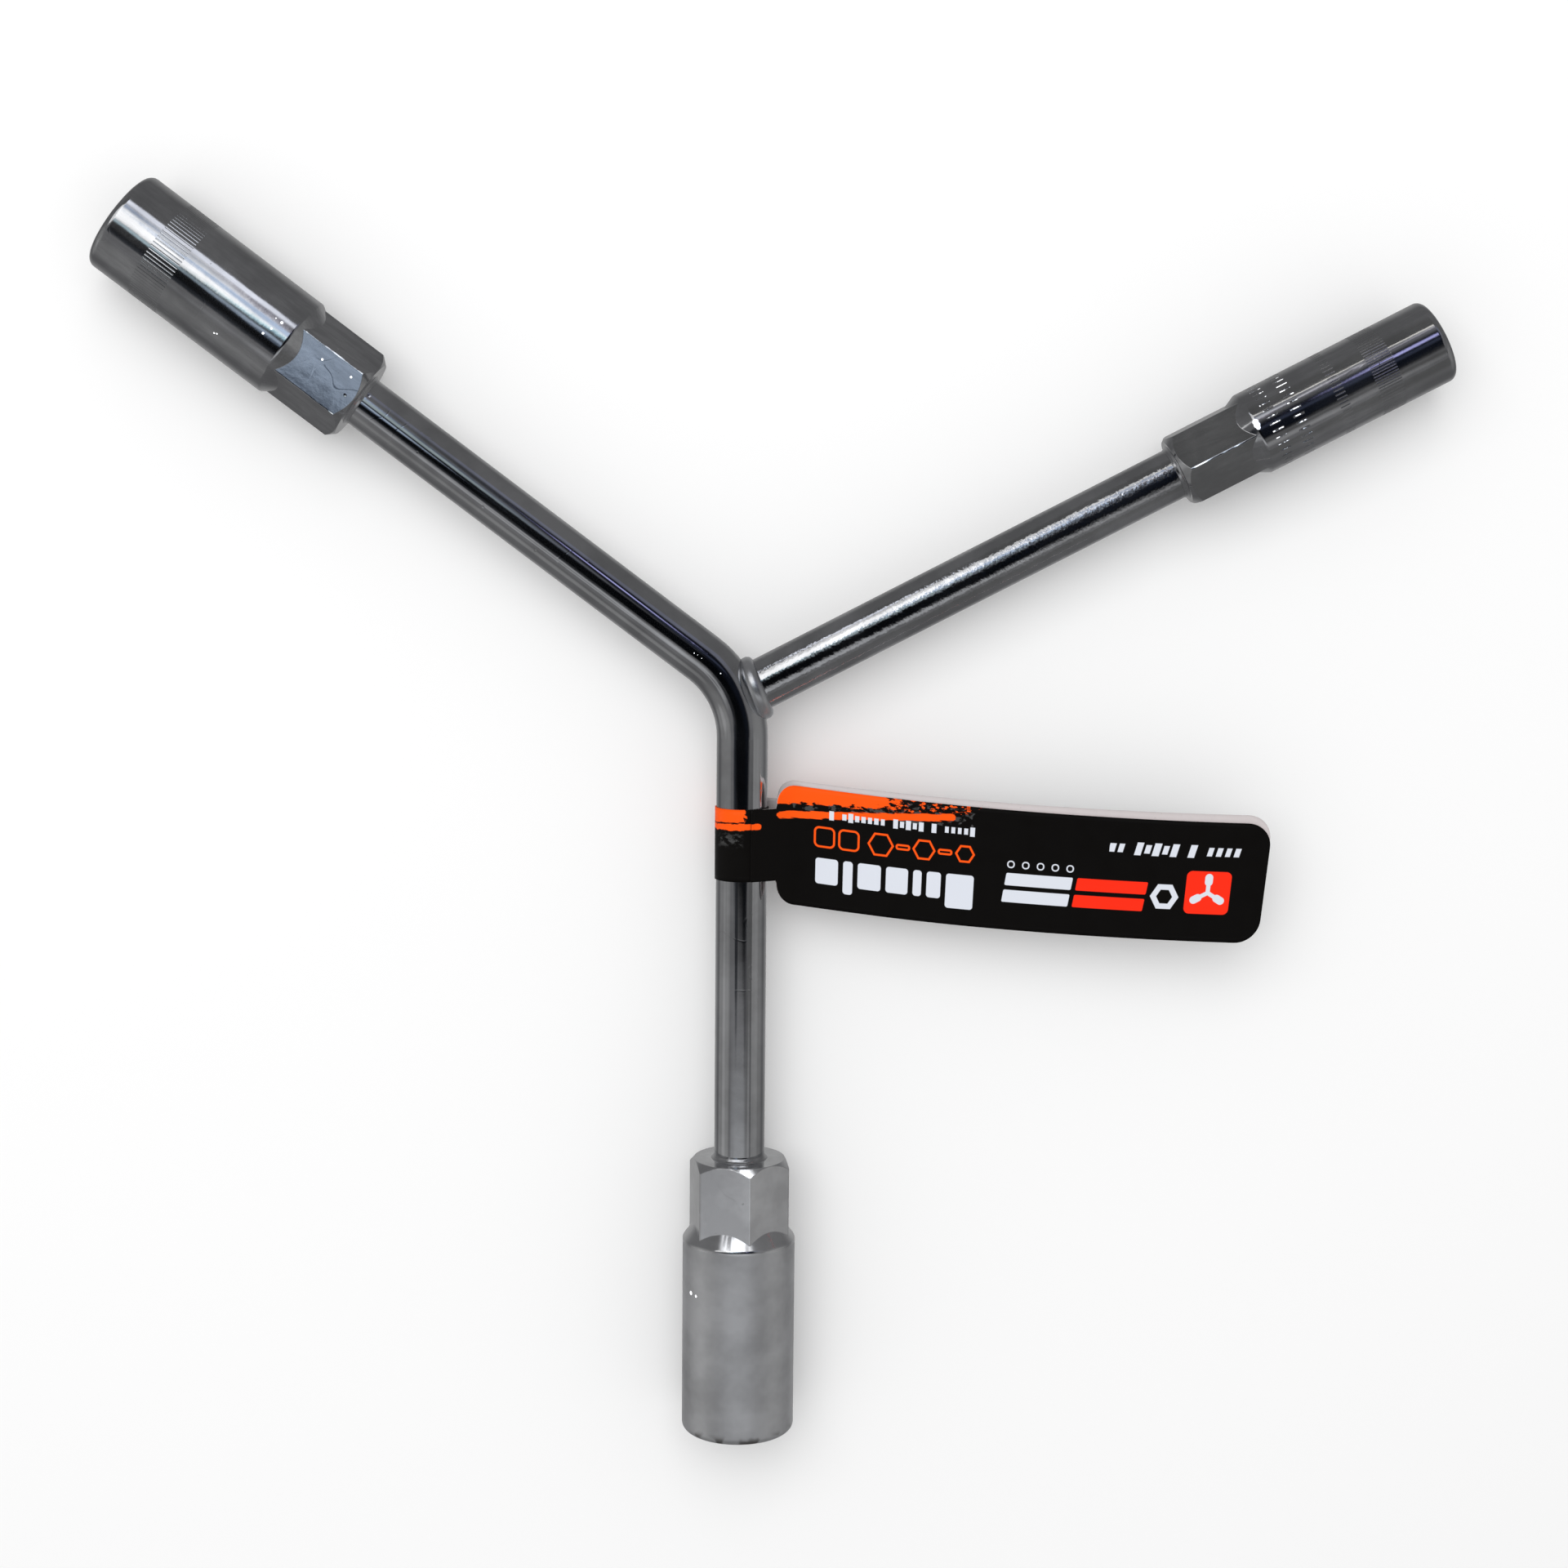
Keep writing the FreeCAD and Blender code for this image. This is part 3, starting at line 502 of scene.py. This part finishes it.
def dress_steel():
    bright = (0.63, 0.635, 0.65)
    finishes = {
        "bent_rod": dict(tint=bright, roughness=0.065, wave=14, peel=2.2, grain=0.7, pits=26,
                         facet=(106, 72),
                         nicks_and_glints=(((-8.5, 6.4, 4.45), 0.13), ((-3.9, 2.9, 4.5), 0.14),
                                ((-7.9, 6.1, 4.5), 0.08), ((-7.2, 5.5, 4.5), 0.09))),
        "side_rod": dict(tint=bright, roughness=0.09, wave=26, peel=42.0, grain=26.0, pits=24,
                         arm=(ARM_10, 0.9)),
        "socket_14": dict(tint=(0.93, 0.935, 0.95), roughness=0.13, wave=16, peel=3.0, grain=1.2,
                          pits=16, arm=(ARM_14, 0.0), satin=(99.7, 0.44), facet=(100, 60),
                          rounding=0.2,
                          nicks_and_glints=(((-8.5, -108.1, 5.4), 0.5), ((-7.6, -108.3, 6.6), 0.35))),
        "socket_12": dict(tint=bright, roughness=0.075, wave=30, peel=6.0, grain=1.6, pits=26,
                          arm=(ARM_12, 0.0), knurl=(102.5, 131.0, 9.2), clouds=0.14,
                          facet=(83, 77), rounding=0.14, streaks=0.16, ridges=(83.5, 95.6, 8.6),
                          nicks_and_glints=(((-71.5, 55.9, 7.45), 0.25), ((-66.7, 53.0, 7.45), 0.25),
                                 ((-78.0, 61.9, 8.7), 0.3), ((-79.7, 60.9, 9.1), 0.22),
                                 ((-81.1, 60.1, 9.2), 0.25), ((-79.0, 62.6, 8.6), 0.18),
                                 ((-89.6, 60.1, 7.5), 0.22), ((-89.1, 60.0, 7.6), 0.2))),
        "socket_10": dict(tint=bright, roughness=0.085, wave=16, peel=4.5, grain=1.6, pits=24,
                          arm=(ARM_10, 0.9), knurl=(111.0, 131.0, 7.45),
                          dashes=(100.8, 110.0, 7.45), ridges=(85.5, 96.3, 7.15),
                          facet=(142, 68), rounding=0.14, streaks=0.14,
                          # These three spots are a painted highlight on the 10 mm socket's
                          # shoulder.
                          nicks_and_glints=(((87.4, 46.95, 6.9), 0.65), ((87.65, 46.45, 7.05), 0.7),
                                 ((87.9, 46.0, 7.15), 0.5))),
        "weld_collar": dict(tint=(0.76, 0.77, 0.79), roughness=0.31, wave=24, peel=6.0, grain=1.6,
                            pits=12),
        "weld_bead_14": dict(tint=bright, roughness=0.20, wave=50, peel=16.0, grain=3.0, pits=30),
    }
    finishes["weld_bead_12"] = finishes["weld_bead_14"]
    finishes["weld_bead_10"] = finishes["weld_bead_14"]
    for node, finish in finishes.items():
        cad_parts[node].material_slots[0].material = chrome(node + "_finish", **finish)


# ---------------------------------------------------------------- print on the card

BLACK = (0.0036, 0.0030, 0.0026)
WHITE = (0.70, 0.73, 0.80)
GREY = (0.055, 0.055, 0.055)
ORANGE = (1.0, 0.095, 0.0015)
RED = (1.0, 0.024, 0.004)


class Artwork:
    """Flat shapes as distances, negative inside.

    x and y are millimetres along and across the card.
    """

    def __init__(self, n, x, y):
        self.n = n
        self.x = x
        self.y = y
        self.place = n.add("CombineXYZ", x, y)

    def off(self, value, middle):
        """How far a value is from the middle."""
        return self.n.math("ABSOLUTE", self.n.math("SUBTRACT", value, middle))

    def bar(self, left, right, low, high, corner=0.35, slant=0.0):
        """Rounded rectangle."""
        n = self.n
        x = n.math("SUBTRACT", self.x, n.math("MULTIPLY", self.y, slant)) if slant else self.x
        across = n.math("SUBTRACT", self.off(x, (left + right) / 2), (right - left) / 2 - corner)
        along = n.math("SUBTRACT", self.off(self.y, (low + high) / 2), (high - low) / 2 - corner)
        outer = n.add("CombineXYZ", n.math("MAXIMUM", across, 0.0), n.math("MAXIMUM", along, 0.0))
        inner = n.math("MINIMUM", n.math("MAXIMUM", across, along), 0.0)
        return n.math("SUBTRACT", n.math("ADD", n.vector("LENGTH", outer, out=1), inner), corner)

    def hexagon(self, x, y, size):
        """Hexagon, size from its centre to each flat."""
        n = self.n
        across, along = self.off(self.x, x), self.off(self.y, y)
        slope = n.math("ADD", n.math("MULTIPLY", across, 0.866), n.math("MULTIPLY", along, 0.5))
        return n.math("SUBTRACT", n.math("MAXIMUM", along, slope), size)

    def stroke(self, start, end, radius):
        """Line with round ends."""
        n = self.n
        reach = (end[0] - start[0], end[1] - start[1], 0.0)
        length = reach[0] ** 2 + reach[1] ** 2
        offset = n.vector("SUBTRACT", self.place, (*start, 0.0))
        share = n.math("MULTIPLY", n.vector("DOT_PRODUCT", offset, reach, out=1), 1 / length)
        share = n.ramp(share, 0.0, 1.0, 0.0, 1.0)
        closest = n.vector("SCALE", reach, None, None, share)
        return n.math("SUBTRACT", n.vector("DISTANCE", offset, closest, out=1), radius)

    def outline(self, distance, width):
        return self.n.math("SUBTRACT", self.n.math("ABSOLUTE", distance), width / 2)

    def join(self, *distances):
        joined = distances[0]
        for distance in distances[1:]:
            joined = self.n.math("MINIMUM", joined, distance)
        return joined

    def row(self, left, right, low, high, pitch, seed, slant=0.0):
        """Row of small blocks with a gap here and there: print too small to read."""
        n = self.n
        x = n.math("SUBTRACT", self.x, n.math("MULTIPLY", self.y, slant)) if slant else self.x
        cell = n.math("DIVIDE", n.math("SUBTRACT", x, left), pitch)
        number = n.math("FLOOR", cell)
        chance = n.add("TexWhiteNoise", None, n.math("ADD", number, seed), noise_dimensions="1D")
        local = n.math("MULTIPLY", self.off(n.math("SUBTRACT", cell, number), 0.5), pitch)
        half_width = n.ramp(chance, 0.15, 1.0, 0.26 * pitch, 0.40 * pitch)
        across = n.math("SUBTRACT", local, half_width)
        taller = n.math("MULTIPLY", n.math("GREATER_THAN", chance, 0.75), (high - low) * 0.18)
        along = n.math("SUBTRACT", self.off(self.y, (low + high) / 2), (high - low) * 0.36)
        along = n.math("SUBTRACT", along, taller)
        ends = n.math("SUBTRACT", self.off(self.x, (left + right) / 2), (right - left) / 2)
        gap = n.math("MULTIPLY", n.math("LESS_THAN", chance, 0.15), 5.0)
        return n.math("ADD", n.math("MAXIMUM", n.math("MAXIMUM", across, along), ends), gap)

    def fill(self, distance, soft=0.05):
        return self.n.step(distance, soft, -soft)

    def window(self, left, right, low, high, soft=1.5):
        """1 inside a soft-edged rectangle."""
        n = self.n
        across = n.math("SUBTRACT", self.off(self.x, (left + right) / 2), (right - left) / 2)
        along = n.math("SUBTRACT", self.off(self.y, (low + high) / 2), (high - low) / 2)
        return n.step(n.math("MAXIMUM", across, along), 0.0, -soft)

    def noise(self, scale_x, scale_y, detail=3.0):
        """Noise from -0.5 to 0.5, with its own scales along and across the card."""
        stretched = self.n.vector("MULTIPLY", self.place, (scale_x, scale_y, 1.0))
        return self.n.math("SUBTRACT", self.n.noise(stretched, 1.0, detail, 0.6), 0.5)


def brush_strokes(art, colour):
    """Two dry orange strokes of paint on the leaf's upper edge, with grey smudges between."""
    n = art.n
    among = n.math("MULTIPLY", art.window(9, 43, 5.6, 11.6), 0.42)
    smudge = n.step(n.sum(art.noise(0.55, 0.9), among), 0.45, 0.51)
    colour = n.blend(smudge, colour, GREY)
    ragged = art.noise(0.55, 1.5, 4.0)
    wilder = n.ramp(art.x, 18.0, 34.0, 1.8, 7.0)
    edge = n.sum(n.math("MULTIPLY", art.x, 0.071), 7.1, n.math("MULTIPLY", ragged, wilder))
    edge = n.math("ADD", edge, n.ramp(art.x, 41.0, 47.0, 0.0, 4.0))
    gaps = n.sum(art.noise(0.75, 1.3), n.ramp(art.x, 17.0, 30.0, -0.45, 0.06))
    upper = n.math("MAXIMUM", n.math("SUBTRACT", edge, art.y), n.math("MULTIPLY", gaps, 3.0))
    frayed = n.math("MULTIPLY", art.noise(0.35, 2.4), 0.9)
    lower = n.math("ADD", art.stroke((7.6, 5.5), (38.0, 8.7), 0.62), frayed)
    splat = n.sum(0.11, n.math("MULTIPLY", art.noise(0.7, 0.8, 4.0), -1.0))
    splat = n.math("ADD", splat, n.ramp(art.window(25.5, 36.0, 6.6, 10.2, 1.0), 0.0, 1.0, 1.0, 0.0))
    frayed = n.math("MULTIPLY", art.noise(0.8, 0.9), 0.5)
    tail = n.math("ADD", art.stroke((0.0, 3.55), (3.4, 3.5), 0.5), frayed)
    return n.blend(art.fill(art.join(upper, lower, splat, tail), 0.08), colour, ORANGE)


def front_print(art):
    """Printed face of the front leaf."""
    n = art.n
    colour = brush_strokes(art, BLACK)
    # Three hexagons for the three sockets, each larger than the one before it.
    sizes = art.join(*(art.hexagon(x, 2.45, size)
                       for x, size in ((40.6, 1.35), (33.4, 1.6), (25.8, 1.85))))
    bars = art.join(*(art.bar(left, right, 0.75, 4.15, 0.8)
                      for left, right in ((14.2, 17.6), (18.5, 21.9))))
    dashes = art.join(art.bar(36.0, 38.2, 2.1, 2.8, 0.3), art.bar(28.6, 30.8, 2.1, 2.8, 0.3))
    orange = art.outline(art.join(sizes, bars, dashes), 0.36)
    colour = n.blend(art.fill(orange), colour, ORANGE)
    title = [art.bar(left, right, low, -1.3, 0.55) for left, right, low in (
        (14.4, 18.4, -5.9), (19.3, 21.0, -7.2), (21.9, 26.0, -5.9), (26.9, 30.8, -5.9),
        (31.7, 33.2, -5.9), (34.1, 36.6, -5.9), (37.5, 42.4, -7.4))]
    marks = [art.bar(48.2 + 2.6 * i, 49.3 + 2.6 * i, 0.8, 1.9, 0.5) for i in range(5)]
    stripes = [art.bar(48.1, 59.8, low, low + 2.2, 0.25, 0.12) for low in (-2.4, -5.4)]
    nut = art.outline(art.hexagon(76.0, -2.6, 1.7), 0.95)
    white = art.join(
        art.row(16.5, 42.4, 5.7, 7.2, 1.12, 3.0), art.row(65.7, 88.5, 4.6, 6.7, 1.55, 11.0, 0.22),
        *title, art.outline(art.join(*marks), 0.22), *stripes, nut)
    colour = n.blend(art.fill(white), colour, WHITE)
    square = art.bar(79.6, 87.4, -5.4, 2.2, 1.0)
    red_stripes = [art.bar(60.6, 73.0, low, low + 2.2, 0.25, 0.12) for low in (-2.4, -5.4)]
    colour = n.blend(art.fill(art.join(square, *red_stripes)), colour, RED)
    arms = []
    for angle in (90.0, 210.0, 330.0):
        x, y, _ = heading(angle)
        tip = (83.5 + 2.7 * x, -1.6 + 2.7 * y)
        arms.append(art.stroke((83.5, -1.6), tip, 0.36))
        arms.append(art.stroke((83.5 + 1.9 * x, -1.6 + 1.9 * y), tip, 0.68))
    return n.blend(art.fill(art.join(*arms)), colour, WHITE)


def sleeve_print(art):
    """Printed outside of the band round the rod: the same paint runs on round it."""
    n = art.n
    among = art.window(-5.5, 0.5, 0.6, 4.0)
    smudge = n.math("MULTIPLY", among, n.step(art.noise(0.7, 1.2), -0.02, 0.08))
    colour = n.blend(smudge, BLACK, GREY)
    ragged = n.math("MULTIPLY", art.noise(0.8, 0.9, 4.0), 2.6)
    right = n.math("SUBTRACT", n.math("SUBTRACT", art.x, 0.5), ragged)
    under = n.math("SUBTRACT", n.math("SUBTRACT", 4.0, art.y), n.math("MULTIPLY", ragged, 0.4))
    tail = n.math("ADD", art.stroke((-6.0, 4.7), (3.2, 4.6), 0.5), n.math("MULTIPLY", ragged, 0.12))
    paint = art.join(n.math("MAXIMUM", right, under), tail)
    colour = n.blend(art.fill(paint, 0.08), colour, ORANGE)
    jagged = n.math("MULTIPLY", art.noise(0.9, 3.0), 0.7)
    crack = n.math("ADD", art.stroke((-7.5, 5.0), (0.6, 5.35), 0.14), jagged)
    return n.blend(art.fill(crack, 0.08), colour, BLACK)


def back_print(art):
    """Printed face of the back leaf: the brush strokes alone."""
    return brush_strokes(art, BLACK)


def print_material(name, draw):
    material, n = new_material(name)
    place = n.vector("SCALE", n.add("Attribute", out=1, attribute_name="card"), None, None, 1 / MM)
    art = Artwork(n, n.add("SeparateXYZ", place, out=0), n.add("SeparateXYZ", place, out=1))
    colour = draw(art)
    wear_and_glint = n.step(n.noise(place, 2.2, 4.0, 0.75), 0.70, 0.80)
    colour = n.blend(n.math("MULTIPLY", wear_and_glint, 0.35), colour, (0.30, 0.29, 0.28))
    rough = n.ramp(n.noise(place, 0.3, 3.0), 0.3, 0.7, 0.36, 0.50)
    ripple = n.bump(n.noise(place, 0.12, 1.0), 60 * MICRON)
    bump = n.bump(n.noise(place, 2.5, 3.0), 2.0 * MICRON, ripple)
    linked = {"Base Color": colour, "Roughness": rough, "Normal": bump}
    n.surface(n.principled(linked, Specular_IOR_Level=0.12))
    return material


def paper_material(name, shade, dark_before=None):
    """Bare card. Nearer the rod than dark_before, in metres along the card, ink covers it."""
    material, n = new_material(name)
    place = n.add("TexCoord", out=3)
    specks = n.step(n.noise(place, 2200.0, 4.0, 0.7), 0.66, 0.74)
    fibres = n.blend(n.noise(place, 700.0, 4.0, 0.6), shade, tuple(value * 0.9 for value in shade))
    colour = n.blend(specks, fibres, (0.30, 0.25, 0.24))
    if dark_before:
        along = n.add("SeparateXYZ", n.add("Attribute", out=1, attribute_name="card"), out=0)
        colour = n.blend(n.step(along, dark_before, dark_before - 0.5 * MM), colour, BLACK)
    bump = n.bump(n.noise(place, 1800.0, 4.0, 0.7), 5 * MICRON)
    n.surface(n.principled({"Base Color": colour, "Normal": bump}, Roughness=0.85))
    return material


def glue_material():
    material, n = new_material("glue_film")
    place = n.add("TexCoord", out=3)
    colour = n.blend(n.noise(place, 400.0, 3.0), (0.62, 0.58, 0.48), (0.74, 0.71, 0.62))
    rough = n.ramp(n.noise(place, 900.0, 3.0), 0.3, 0.7, 0.3, 0.5)
    n.surface(n.principled({"Base Color": colour, "Roughness": rough}))
    return material


# ---------------------------------------------------------------- hang tag


def leaf_section(side):
    """Middle line of a leaf in the XZ plane, from its lap on the sleeve to its outer end.

    Gives a function from distance along the card, 0 at the rod's crown, to a point. side is 1
    for the front leaf, -1 for the back one and 0 for the glue between them.
    """
    radius = SLEEVE_MIDDLE + CARD + LAP_CLEARANCE
    leave = math.acos(radius / LEAF_MEETING)
    lap = radius * (math.pi / 2 - leave)
    drop = math.sqrt(LEAF_MEETING ** 2 - radius ** 2)
    ease = 1.6 * MM
    samples = 9

    def raw(s):
        if s < lap:
            angle = math.pi / 2 - s / radius
            return Vector((radius * math.cos(angle), side * radius * math.sin(angle)))
        start = Vector((radius * math.cos(leave), side * radius * math.sin(leave)))
        down = Vector((math.sin(leave), -side * math.cos(leave)))
        if s < lap + drop:
            return start + down * (s - lap)
        return Vector((LEAF_MEETING + s - lap - drop, 0.0))

    def place(s):
        point = raw(s)
        if s > lap:
            shifts = (ease * (2 * i / (samples - 1) - 1) for i in range(samples))
            point = sum((raw(s + shift) for shift in shifts), Vector((0.0, 0.0))) / samples
        apart = side * (GLUE + CARD) / 2 * min(1.0, max(0.0, (s - lap) / drop))
        curl = 0.35 * MM * math.sin(s / (14 * MM)) * min(1.0, max(0.0, (s - 20 * MM) / (20 * MM)))
        return Vector((point.x, point.y + apart + curl))

    return place, lap


def leaf_share(s):
    """0 at the leaf's near end, 1 at its outer end."""
    return min(1.0, max(0.0, (s - LEAF_START) / LEAF_LENGTH))


def rounded(distance, corner):
    """How far a rounded corner cuts in, at a distance from the end."""
    if distance >= corner:
        return 0.0
    return corner - math.sqrt(max(0.0, corner ** 2 - (corner - max(0.0, distance)) ** 2))


def leaf_outline(s, neck):
    """Lowest and highest v of the leaf at a distance along the card."""
    if s < LEAF_START:
        return neck
    cut = rounded(s - LEAF_START, NEAR_CORNER) + rounded(LEAF_END - s, FAR_CORNER)
    return min(LEAF_BOTTOM + cut, 0.0), max(LEAF_TOP - cut, 0.0)


def leaf_stations(first):
    """Distances along the card of the rows of a leaf's grid, closer together at its corners."""
    stations = [first + (LEAF_START - first) * i / 24 for i in range(25)]
    stations += [LEAF_START + 1e-5 + NEAR_CORNER * (1 - math.cos(math.pi / 2 * i / 10))
                 for i in range(11)]
    body = LEAF_START + NEAR_CORNER
    stations += [body + (LEAF_END - FAR_CORNER - body) * i / 60 for i in range(1, 60)]
    stations += [LEAF_END - FAR_CORNER + FAR_CORNER * math.sin(math.pi / 2 * i / 12)
                 for i in range(13)]
    return stations


def build_grid(name, rows, card, thickness, flip=False):
    """A thick sheet through rows of points, with its card coordinates stored on the points."""
    width = len(rows[0])
    faces = []
    for i in range(len(rows) - 1):
        for j in range(width - 1):
            corner = i * width + j
            face = (corner, corner + width, corner + width + 1, corner + 1)
            faces.append(face[::-1] if flip else face)
    mesh = bpy.data.meshes.new(name)
    mesh.from_pydata([point for row in rows for point in row], [], faces)
    for polygon in mesh.polygons:
        polygon.use_smooth = True
    attribute = mesh.attributes.new("card", "FLOAT_VECTOR", "POINT")
    places = [value for row in card for u, v in row for value in (u, v, 0.0)]
    attribute.data.foreach_set("vector", places)
    sheet = bpy.data.objects.new(name, mesh)
    bpy.context.scene.collection.objects.link(sheet)
    solid = sheet.modifiers.new("thickness", "SOLIDIFY")
    solid.thickness = thickness
    solid.offset = 0.0
    solid.use_quality_normals = True
    solid.material_offset = 1
    solid.material_offset_rim = 2
    return sheet


def build_leaf(name, side, stations, outline, thickness, rise):
    """One layer of the tag's flap, curved and tilted, with its printed side away from the glue."""
    section = leaf_section(side)[0]
    across = 24
    rows, card = [], []
    middle = LEAF_CENTRE
    previous = stations[0]
    for s in stations:
        share = leaf_share(s)
        angle = math.radians(LEAF_HEADING + LEAF_STRAIGHTENING * share)
        if s > LEAF_START:
            middle += (s - max(previous, LEAF_START)) * math.sin(angle)
        previous = s
        low, high = outline(s)
        flat = section(s)
        row, marks = [], []
        for j in range(across + 1):
            v = low + (high - low) * j / across
            x = flat.x + LEAF_SLANT * share * v
            y = middle + v + rise(share)
            turned_x = x * math.cos(LEAF_TILT) - flat.y * math.sin(LEAF_TILT)
            turned_z = x * math.sin(LEAF_TILT) + flat.y * math.cos(LEAF_TILT)
            row.append((turned_x, y, turned_z))
            marks.append((s, v))
        rows.append(row)
        card.append(marks)
    return build_grid(name, rows, card, thickness, flip=side < 0)


def build_sleeve():
    """The band of card round the rod."""
    around, along = 72, 12
    rows, card = [], []
    for i in range(around + 1):
        angle = math.pi * (2 * i / around - 1)
        ys = [SLEEVE_LOW_Y + (SLEEVE_HIGH.y - SLEEVE_LOW_Y) * j / along for j in range(along + 1)]
        rows.append([(SLEEVE_MIDDLE * math.sin(angle), y, SLEEVE_MIDDLE * math.cos(angle))
                     for y in ys])
        card.append([(SLEEVE_MIDDLE * angle, y - PRINT_CENTRE) for y in ys])
    return build_grid("tag_band", rows, card, SLEEVE_CARD)


def finish_piece(piece, materials, node, body):
    for material in materials:
        piece.data.materials.append(material)
    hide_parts(node)
    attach(piece, body)


def build_tag():
    inside = paper_material("tag_inside", (0.61, 0.56, 0.56))
    edge = paper_material("tag_edge", (0.60, 0.55, 0.55), dark_before=4.5 * MM)
    band = print_material("tag_band_print", sleeve_print)
    glue = glue_material()
    finish_piece(build_sleeve(), (band, inside, band), "tag_sleeve", "tag_slider")

    lap = leaf_section(1)[1]
    stations = leaf_stations(lap - LAP_OVERLAP)
    front_neck = (-6.25 * MM, 6.55 * MM)
    back_neck = (-7.6 * MM, 7.2 * MM)
    front = build_leaf("tag_front_card", 1, stations, lambda s: leaf_outline(s, front_neck), CARD,
                       lambda share: 0.0)
    finish_piece(front, (print_material("tag_front_print", front_print), inside, edge),
                 "tag_front_leaf", "tag_flap")
    back = build_leaf("tag_back_card", -1, stations, lambda s: leaf_outline(s, back_neck), CARD,
                      lambda share: (0.55 + 0.85 * math.sqrt(share)) * MM)
    finish_piece(back, (print_material("tag_back_print", back_print), inside, edge),
                 "tag_back_leaf", "tag_flap")
    margin = 3.0 * MM
    near, far = LEAF_MEETING + 2.5 * MM, LEAF_END - margin
    film_stations = [near + (far - near) * i / 60 for i in range(61)]
    film = build_leaf("tag_glue_film", 0, film_stations,
                      lambda s: (LEAF_BOTTOM + margin, LEAF_TOP - margin),
                      0.8 * GLUE, lambda share: 0.0)
    finish_piece(film, (glue, glue, glue), "tag_adhesive", "tag_flap")


def main():
    bpy.context.scene.view_settings.view_transform = "Standard"
    build_camera()
    build_world()
    build_lights()
    build_floor()
    build_ceiling()
    build_reflector("reflector_12", (-0.057, 0.160, 0.100), (0.034, 0.020), 145, (1.25, 1.29, 1.42))
    build_glint("glint_14", (-4.0, -62.0, 31.0), 25 * MM, 15 * MM, -90)
    dress_steel()
    build_tag()


main()
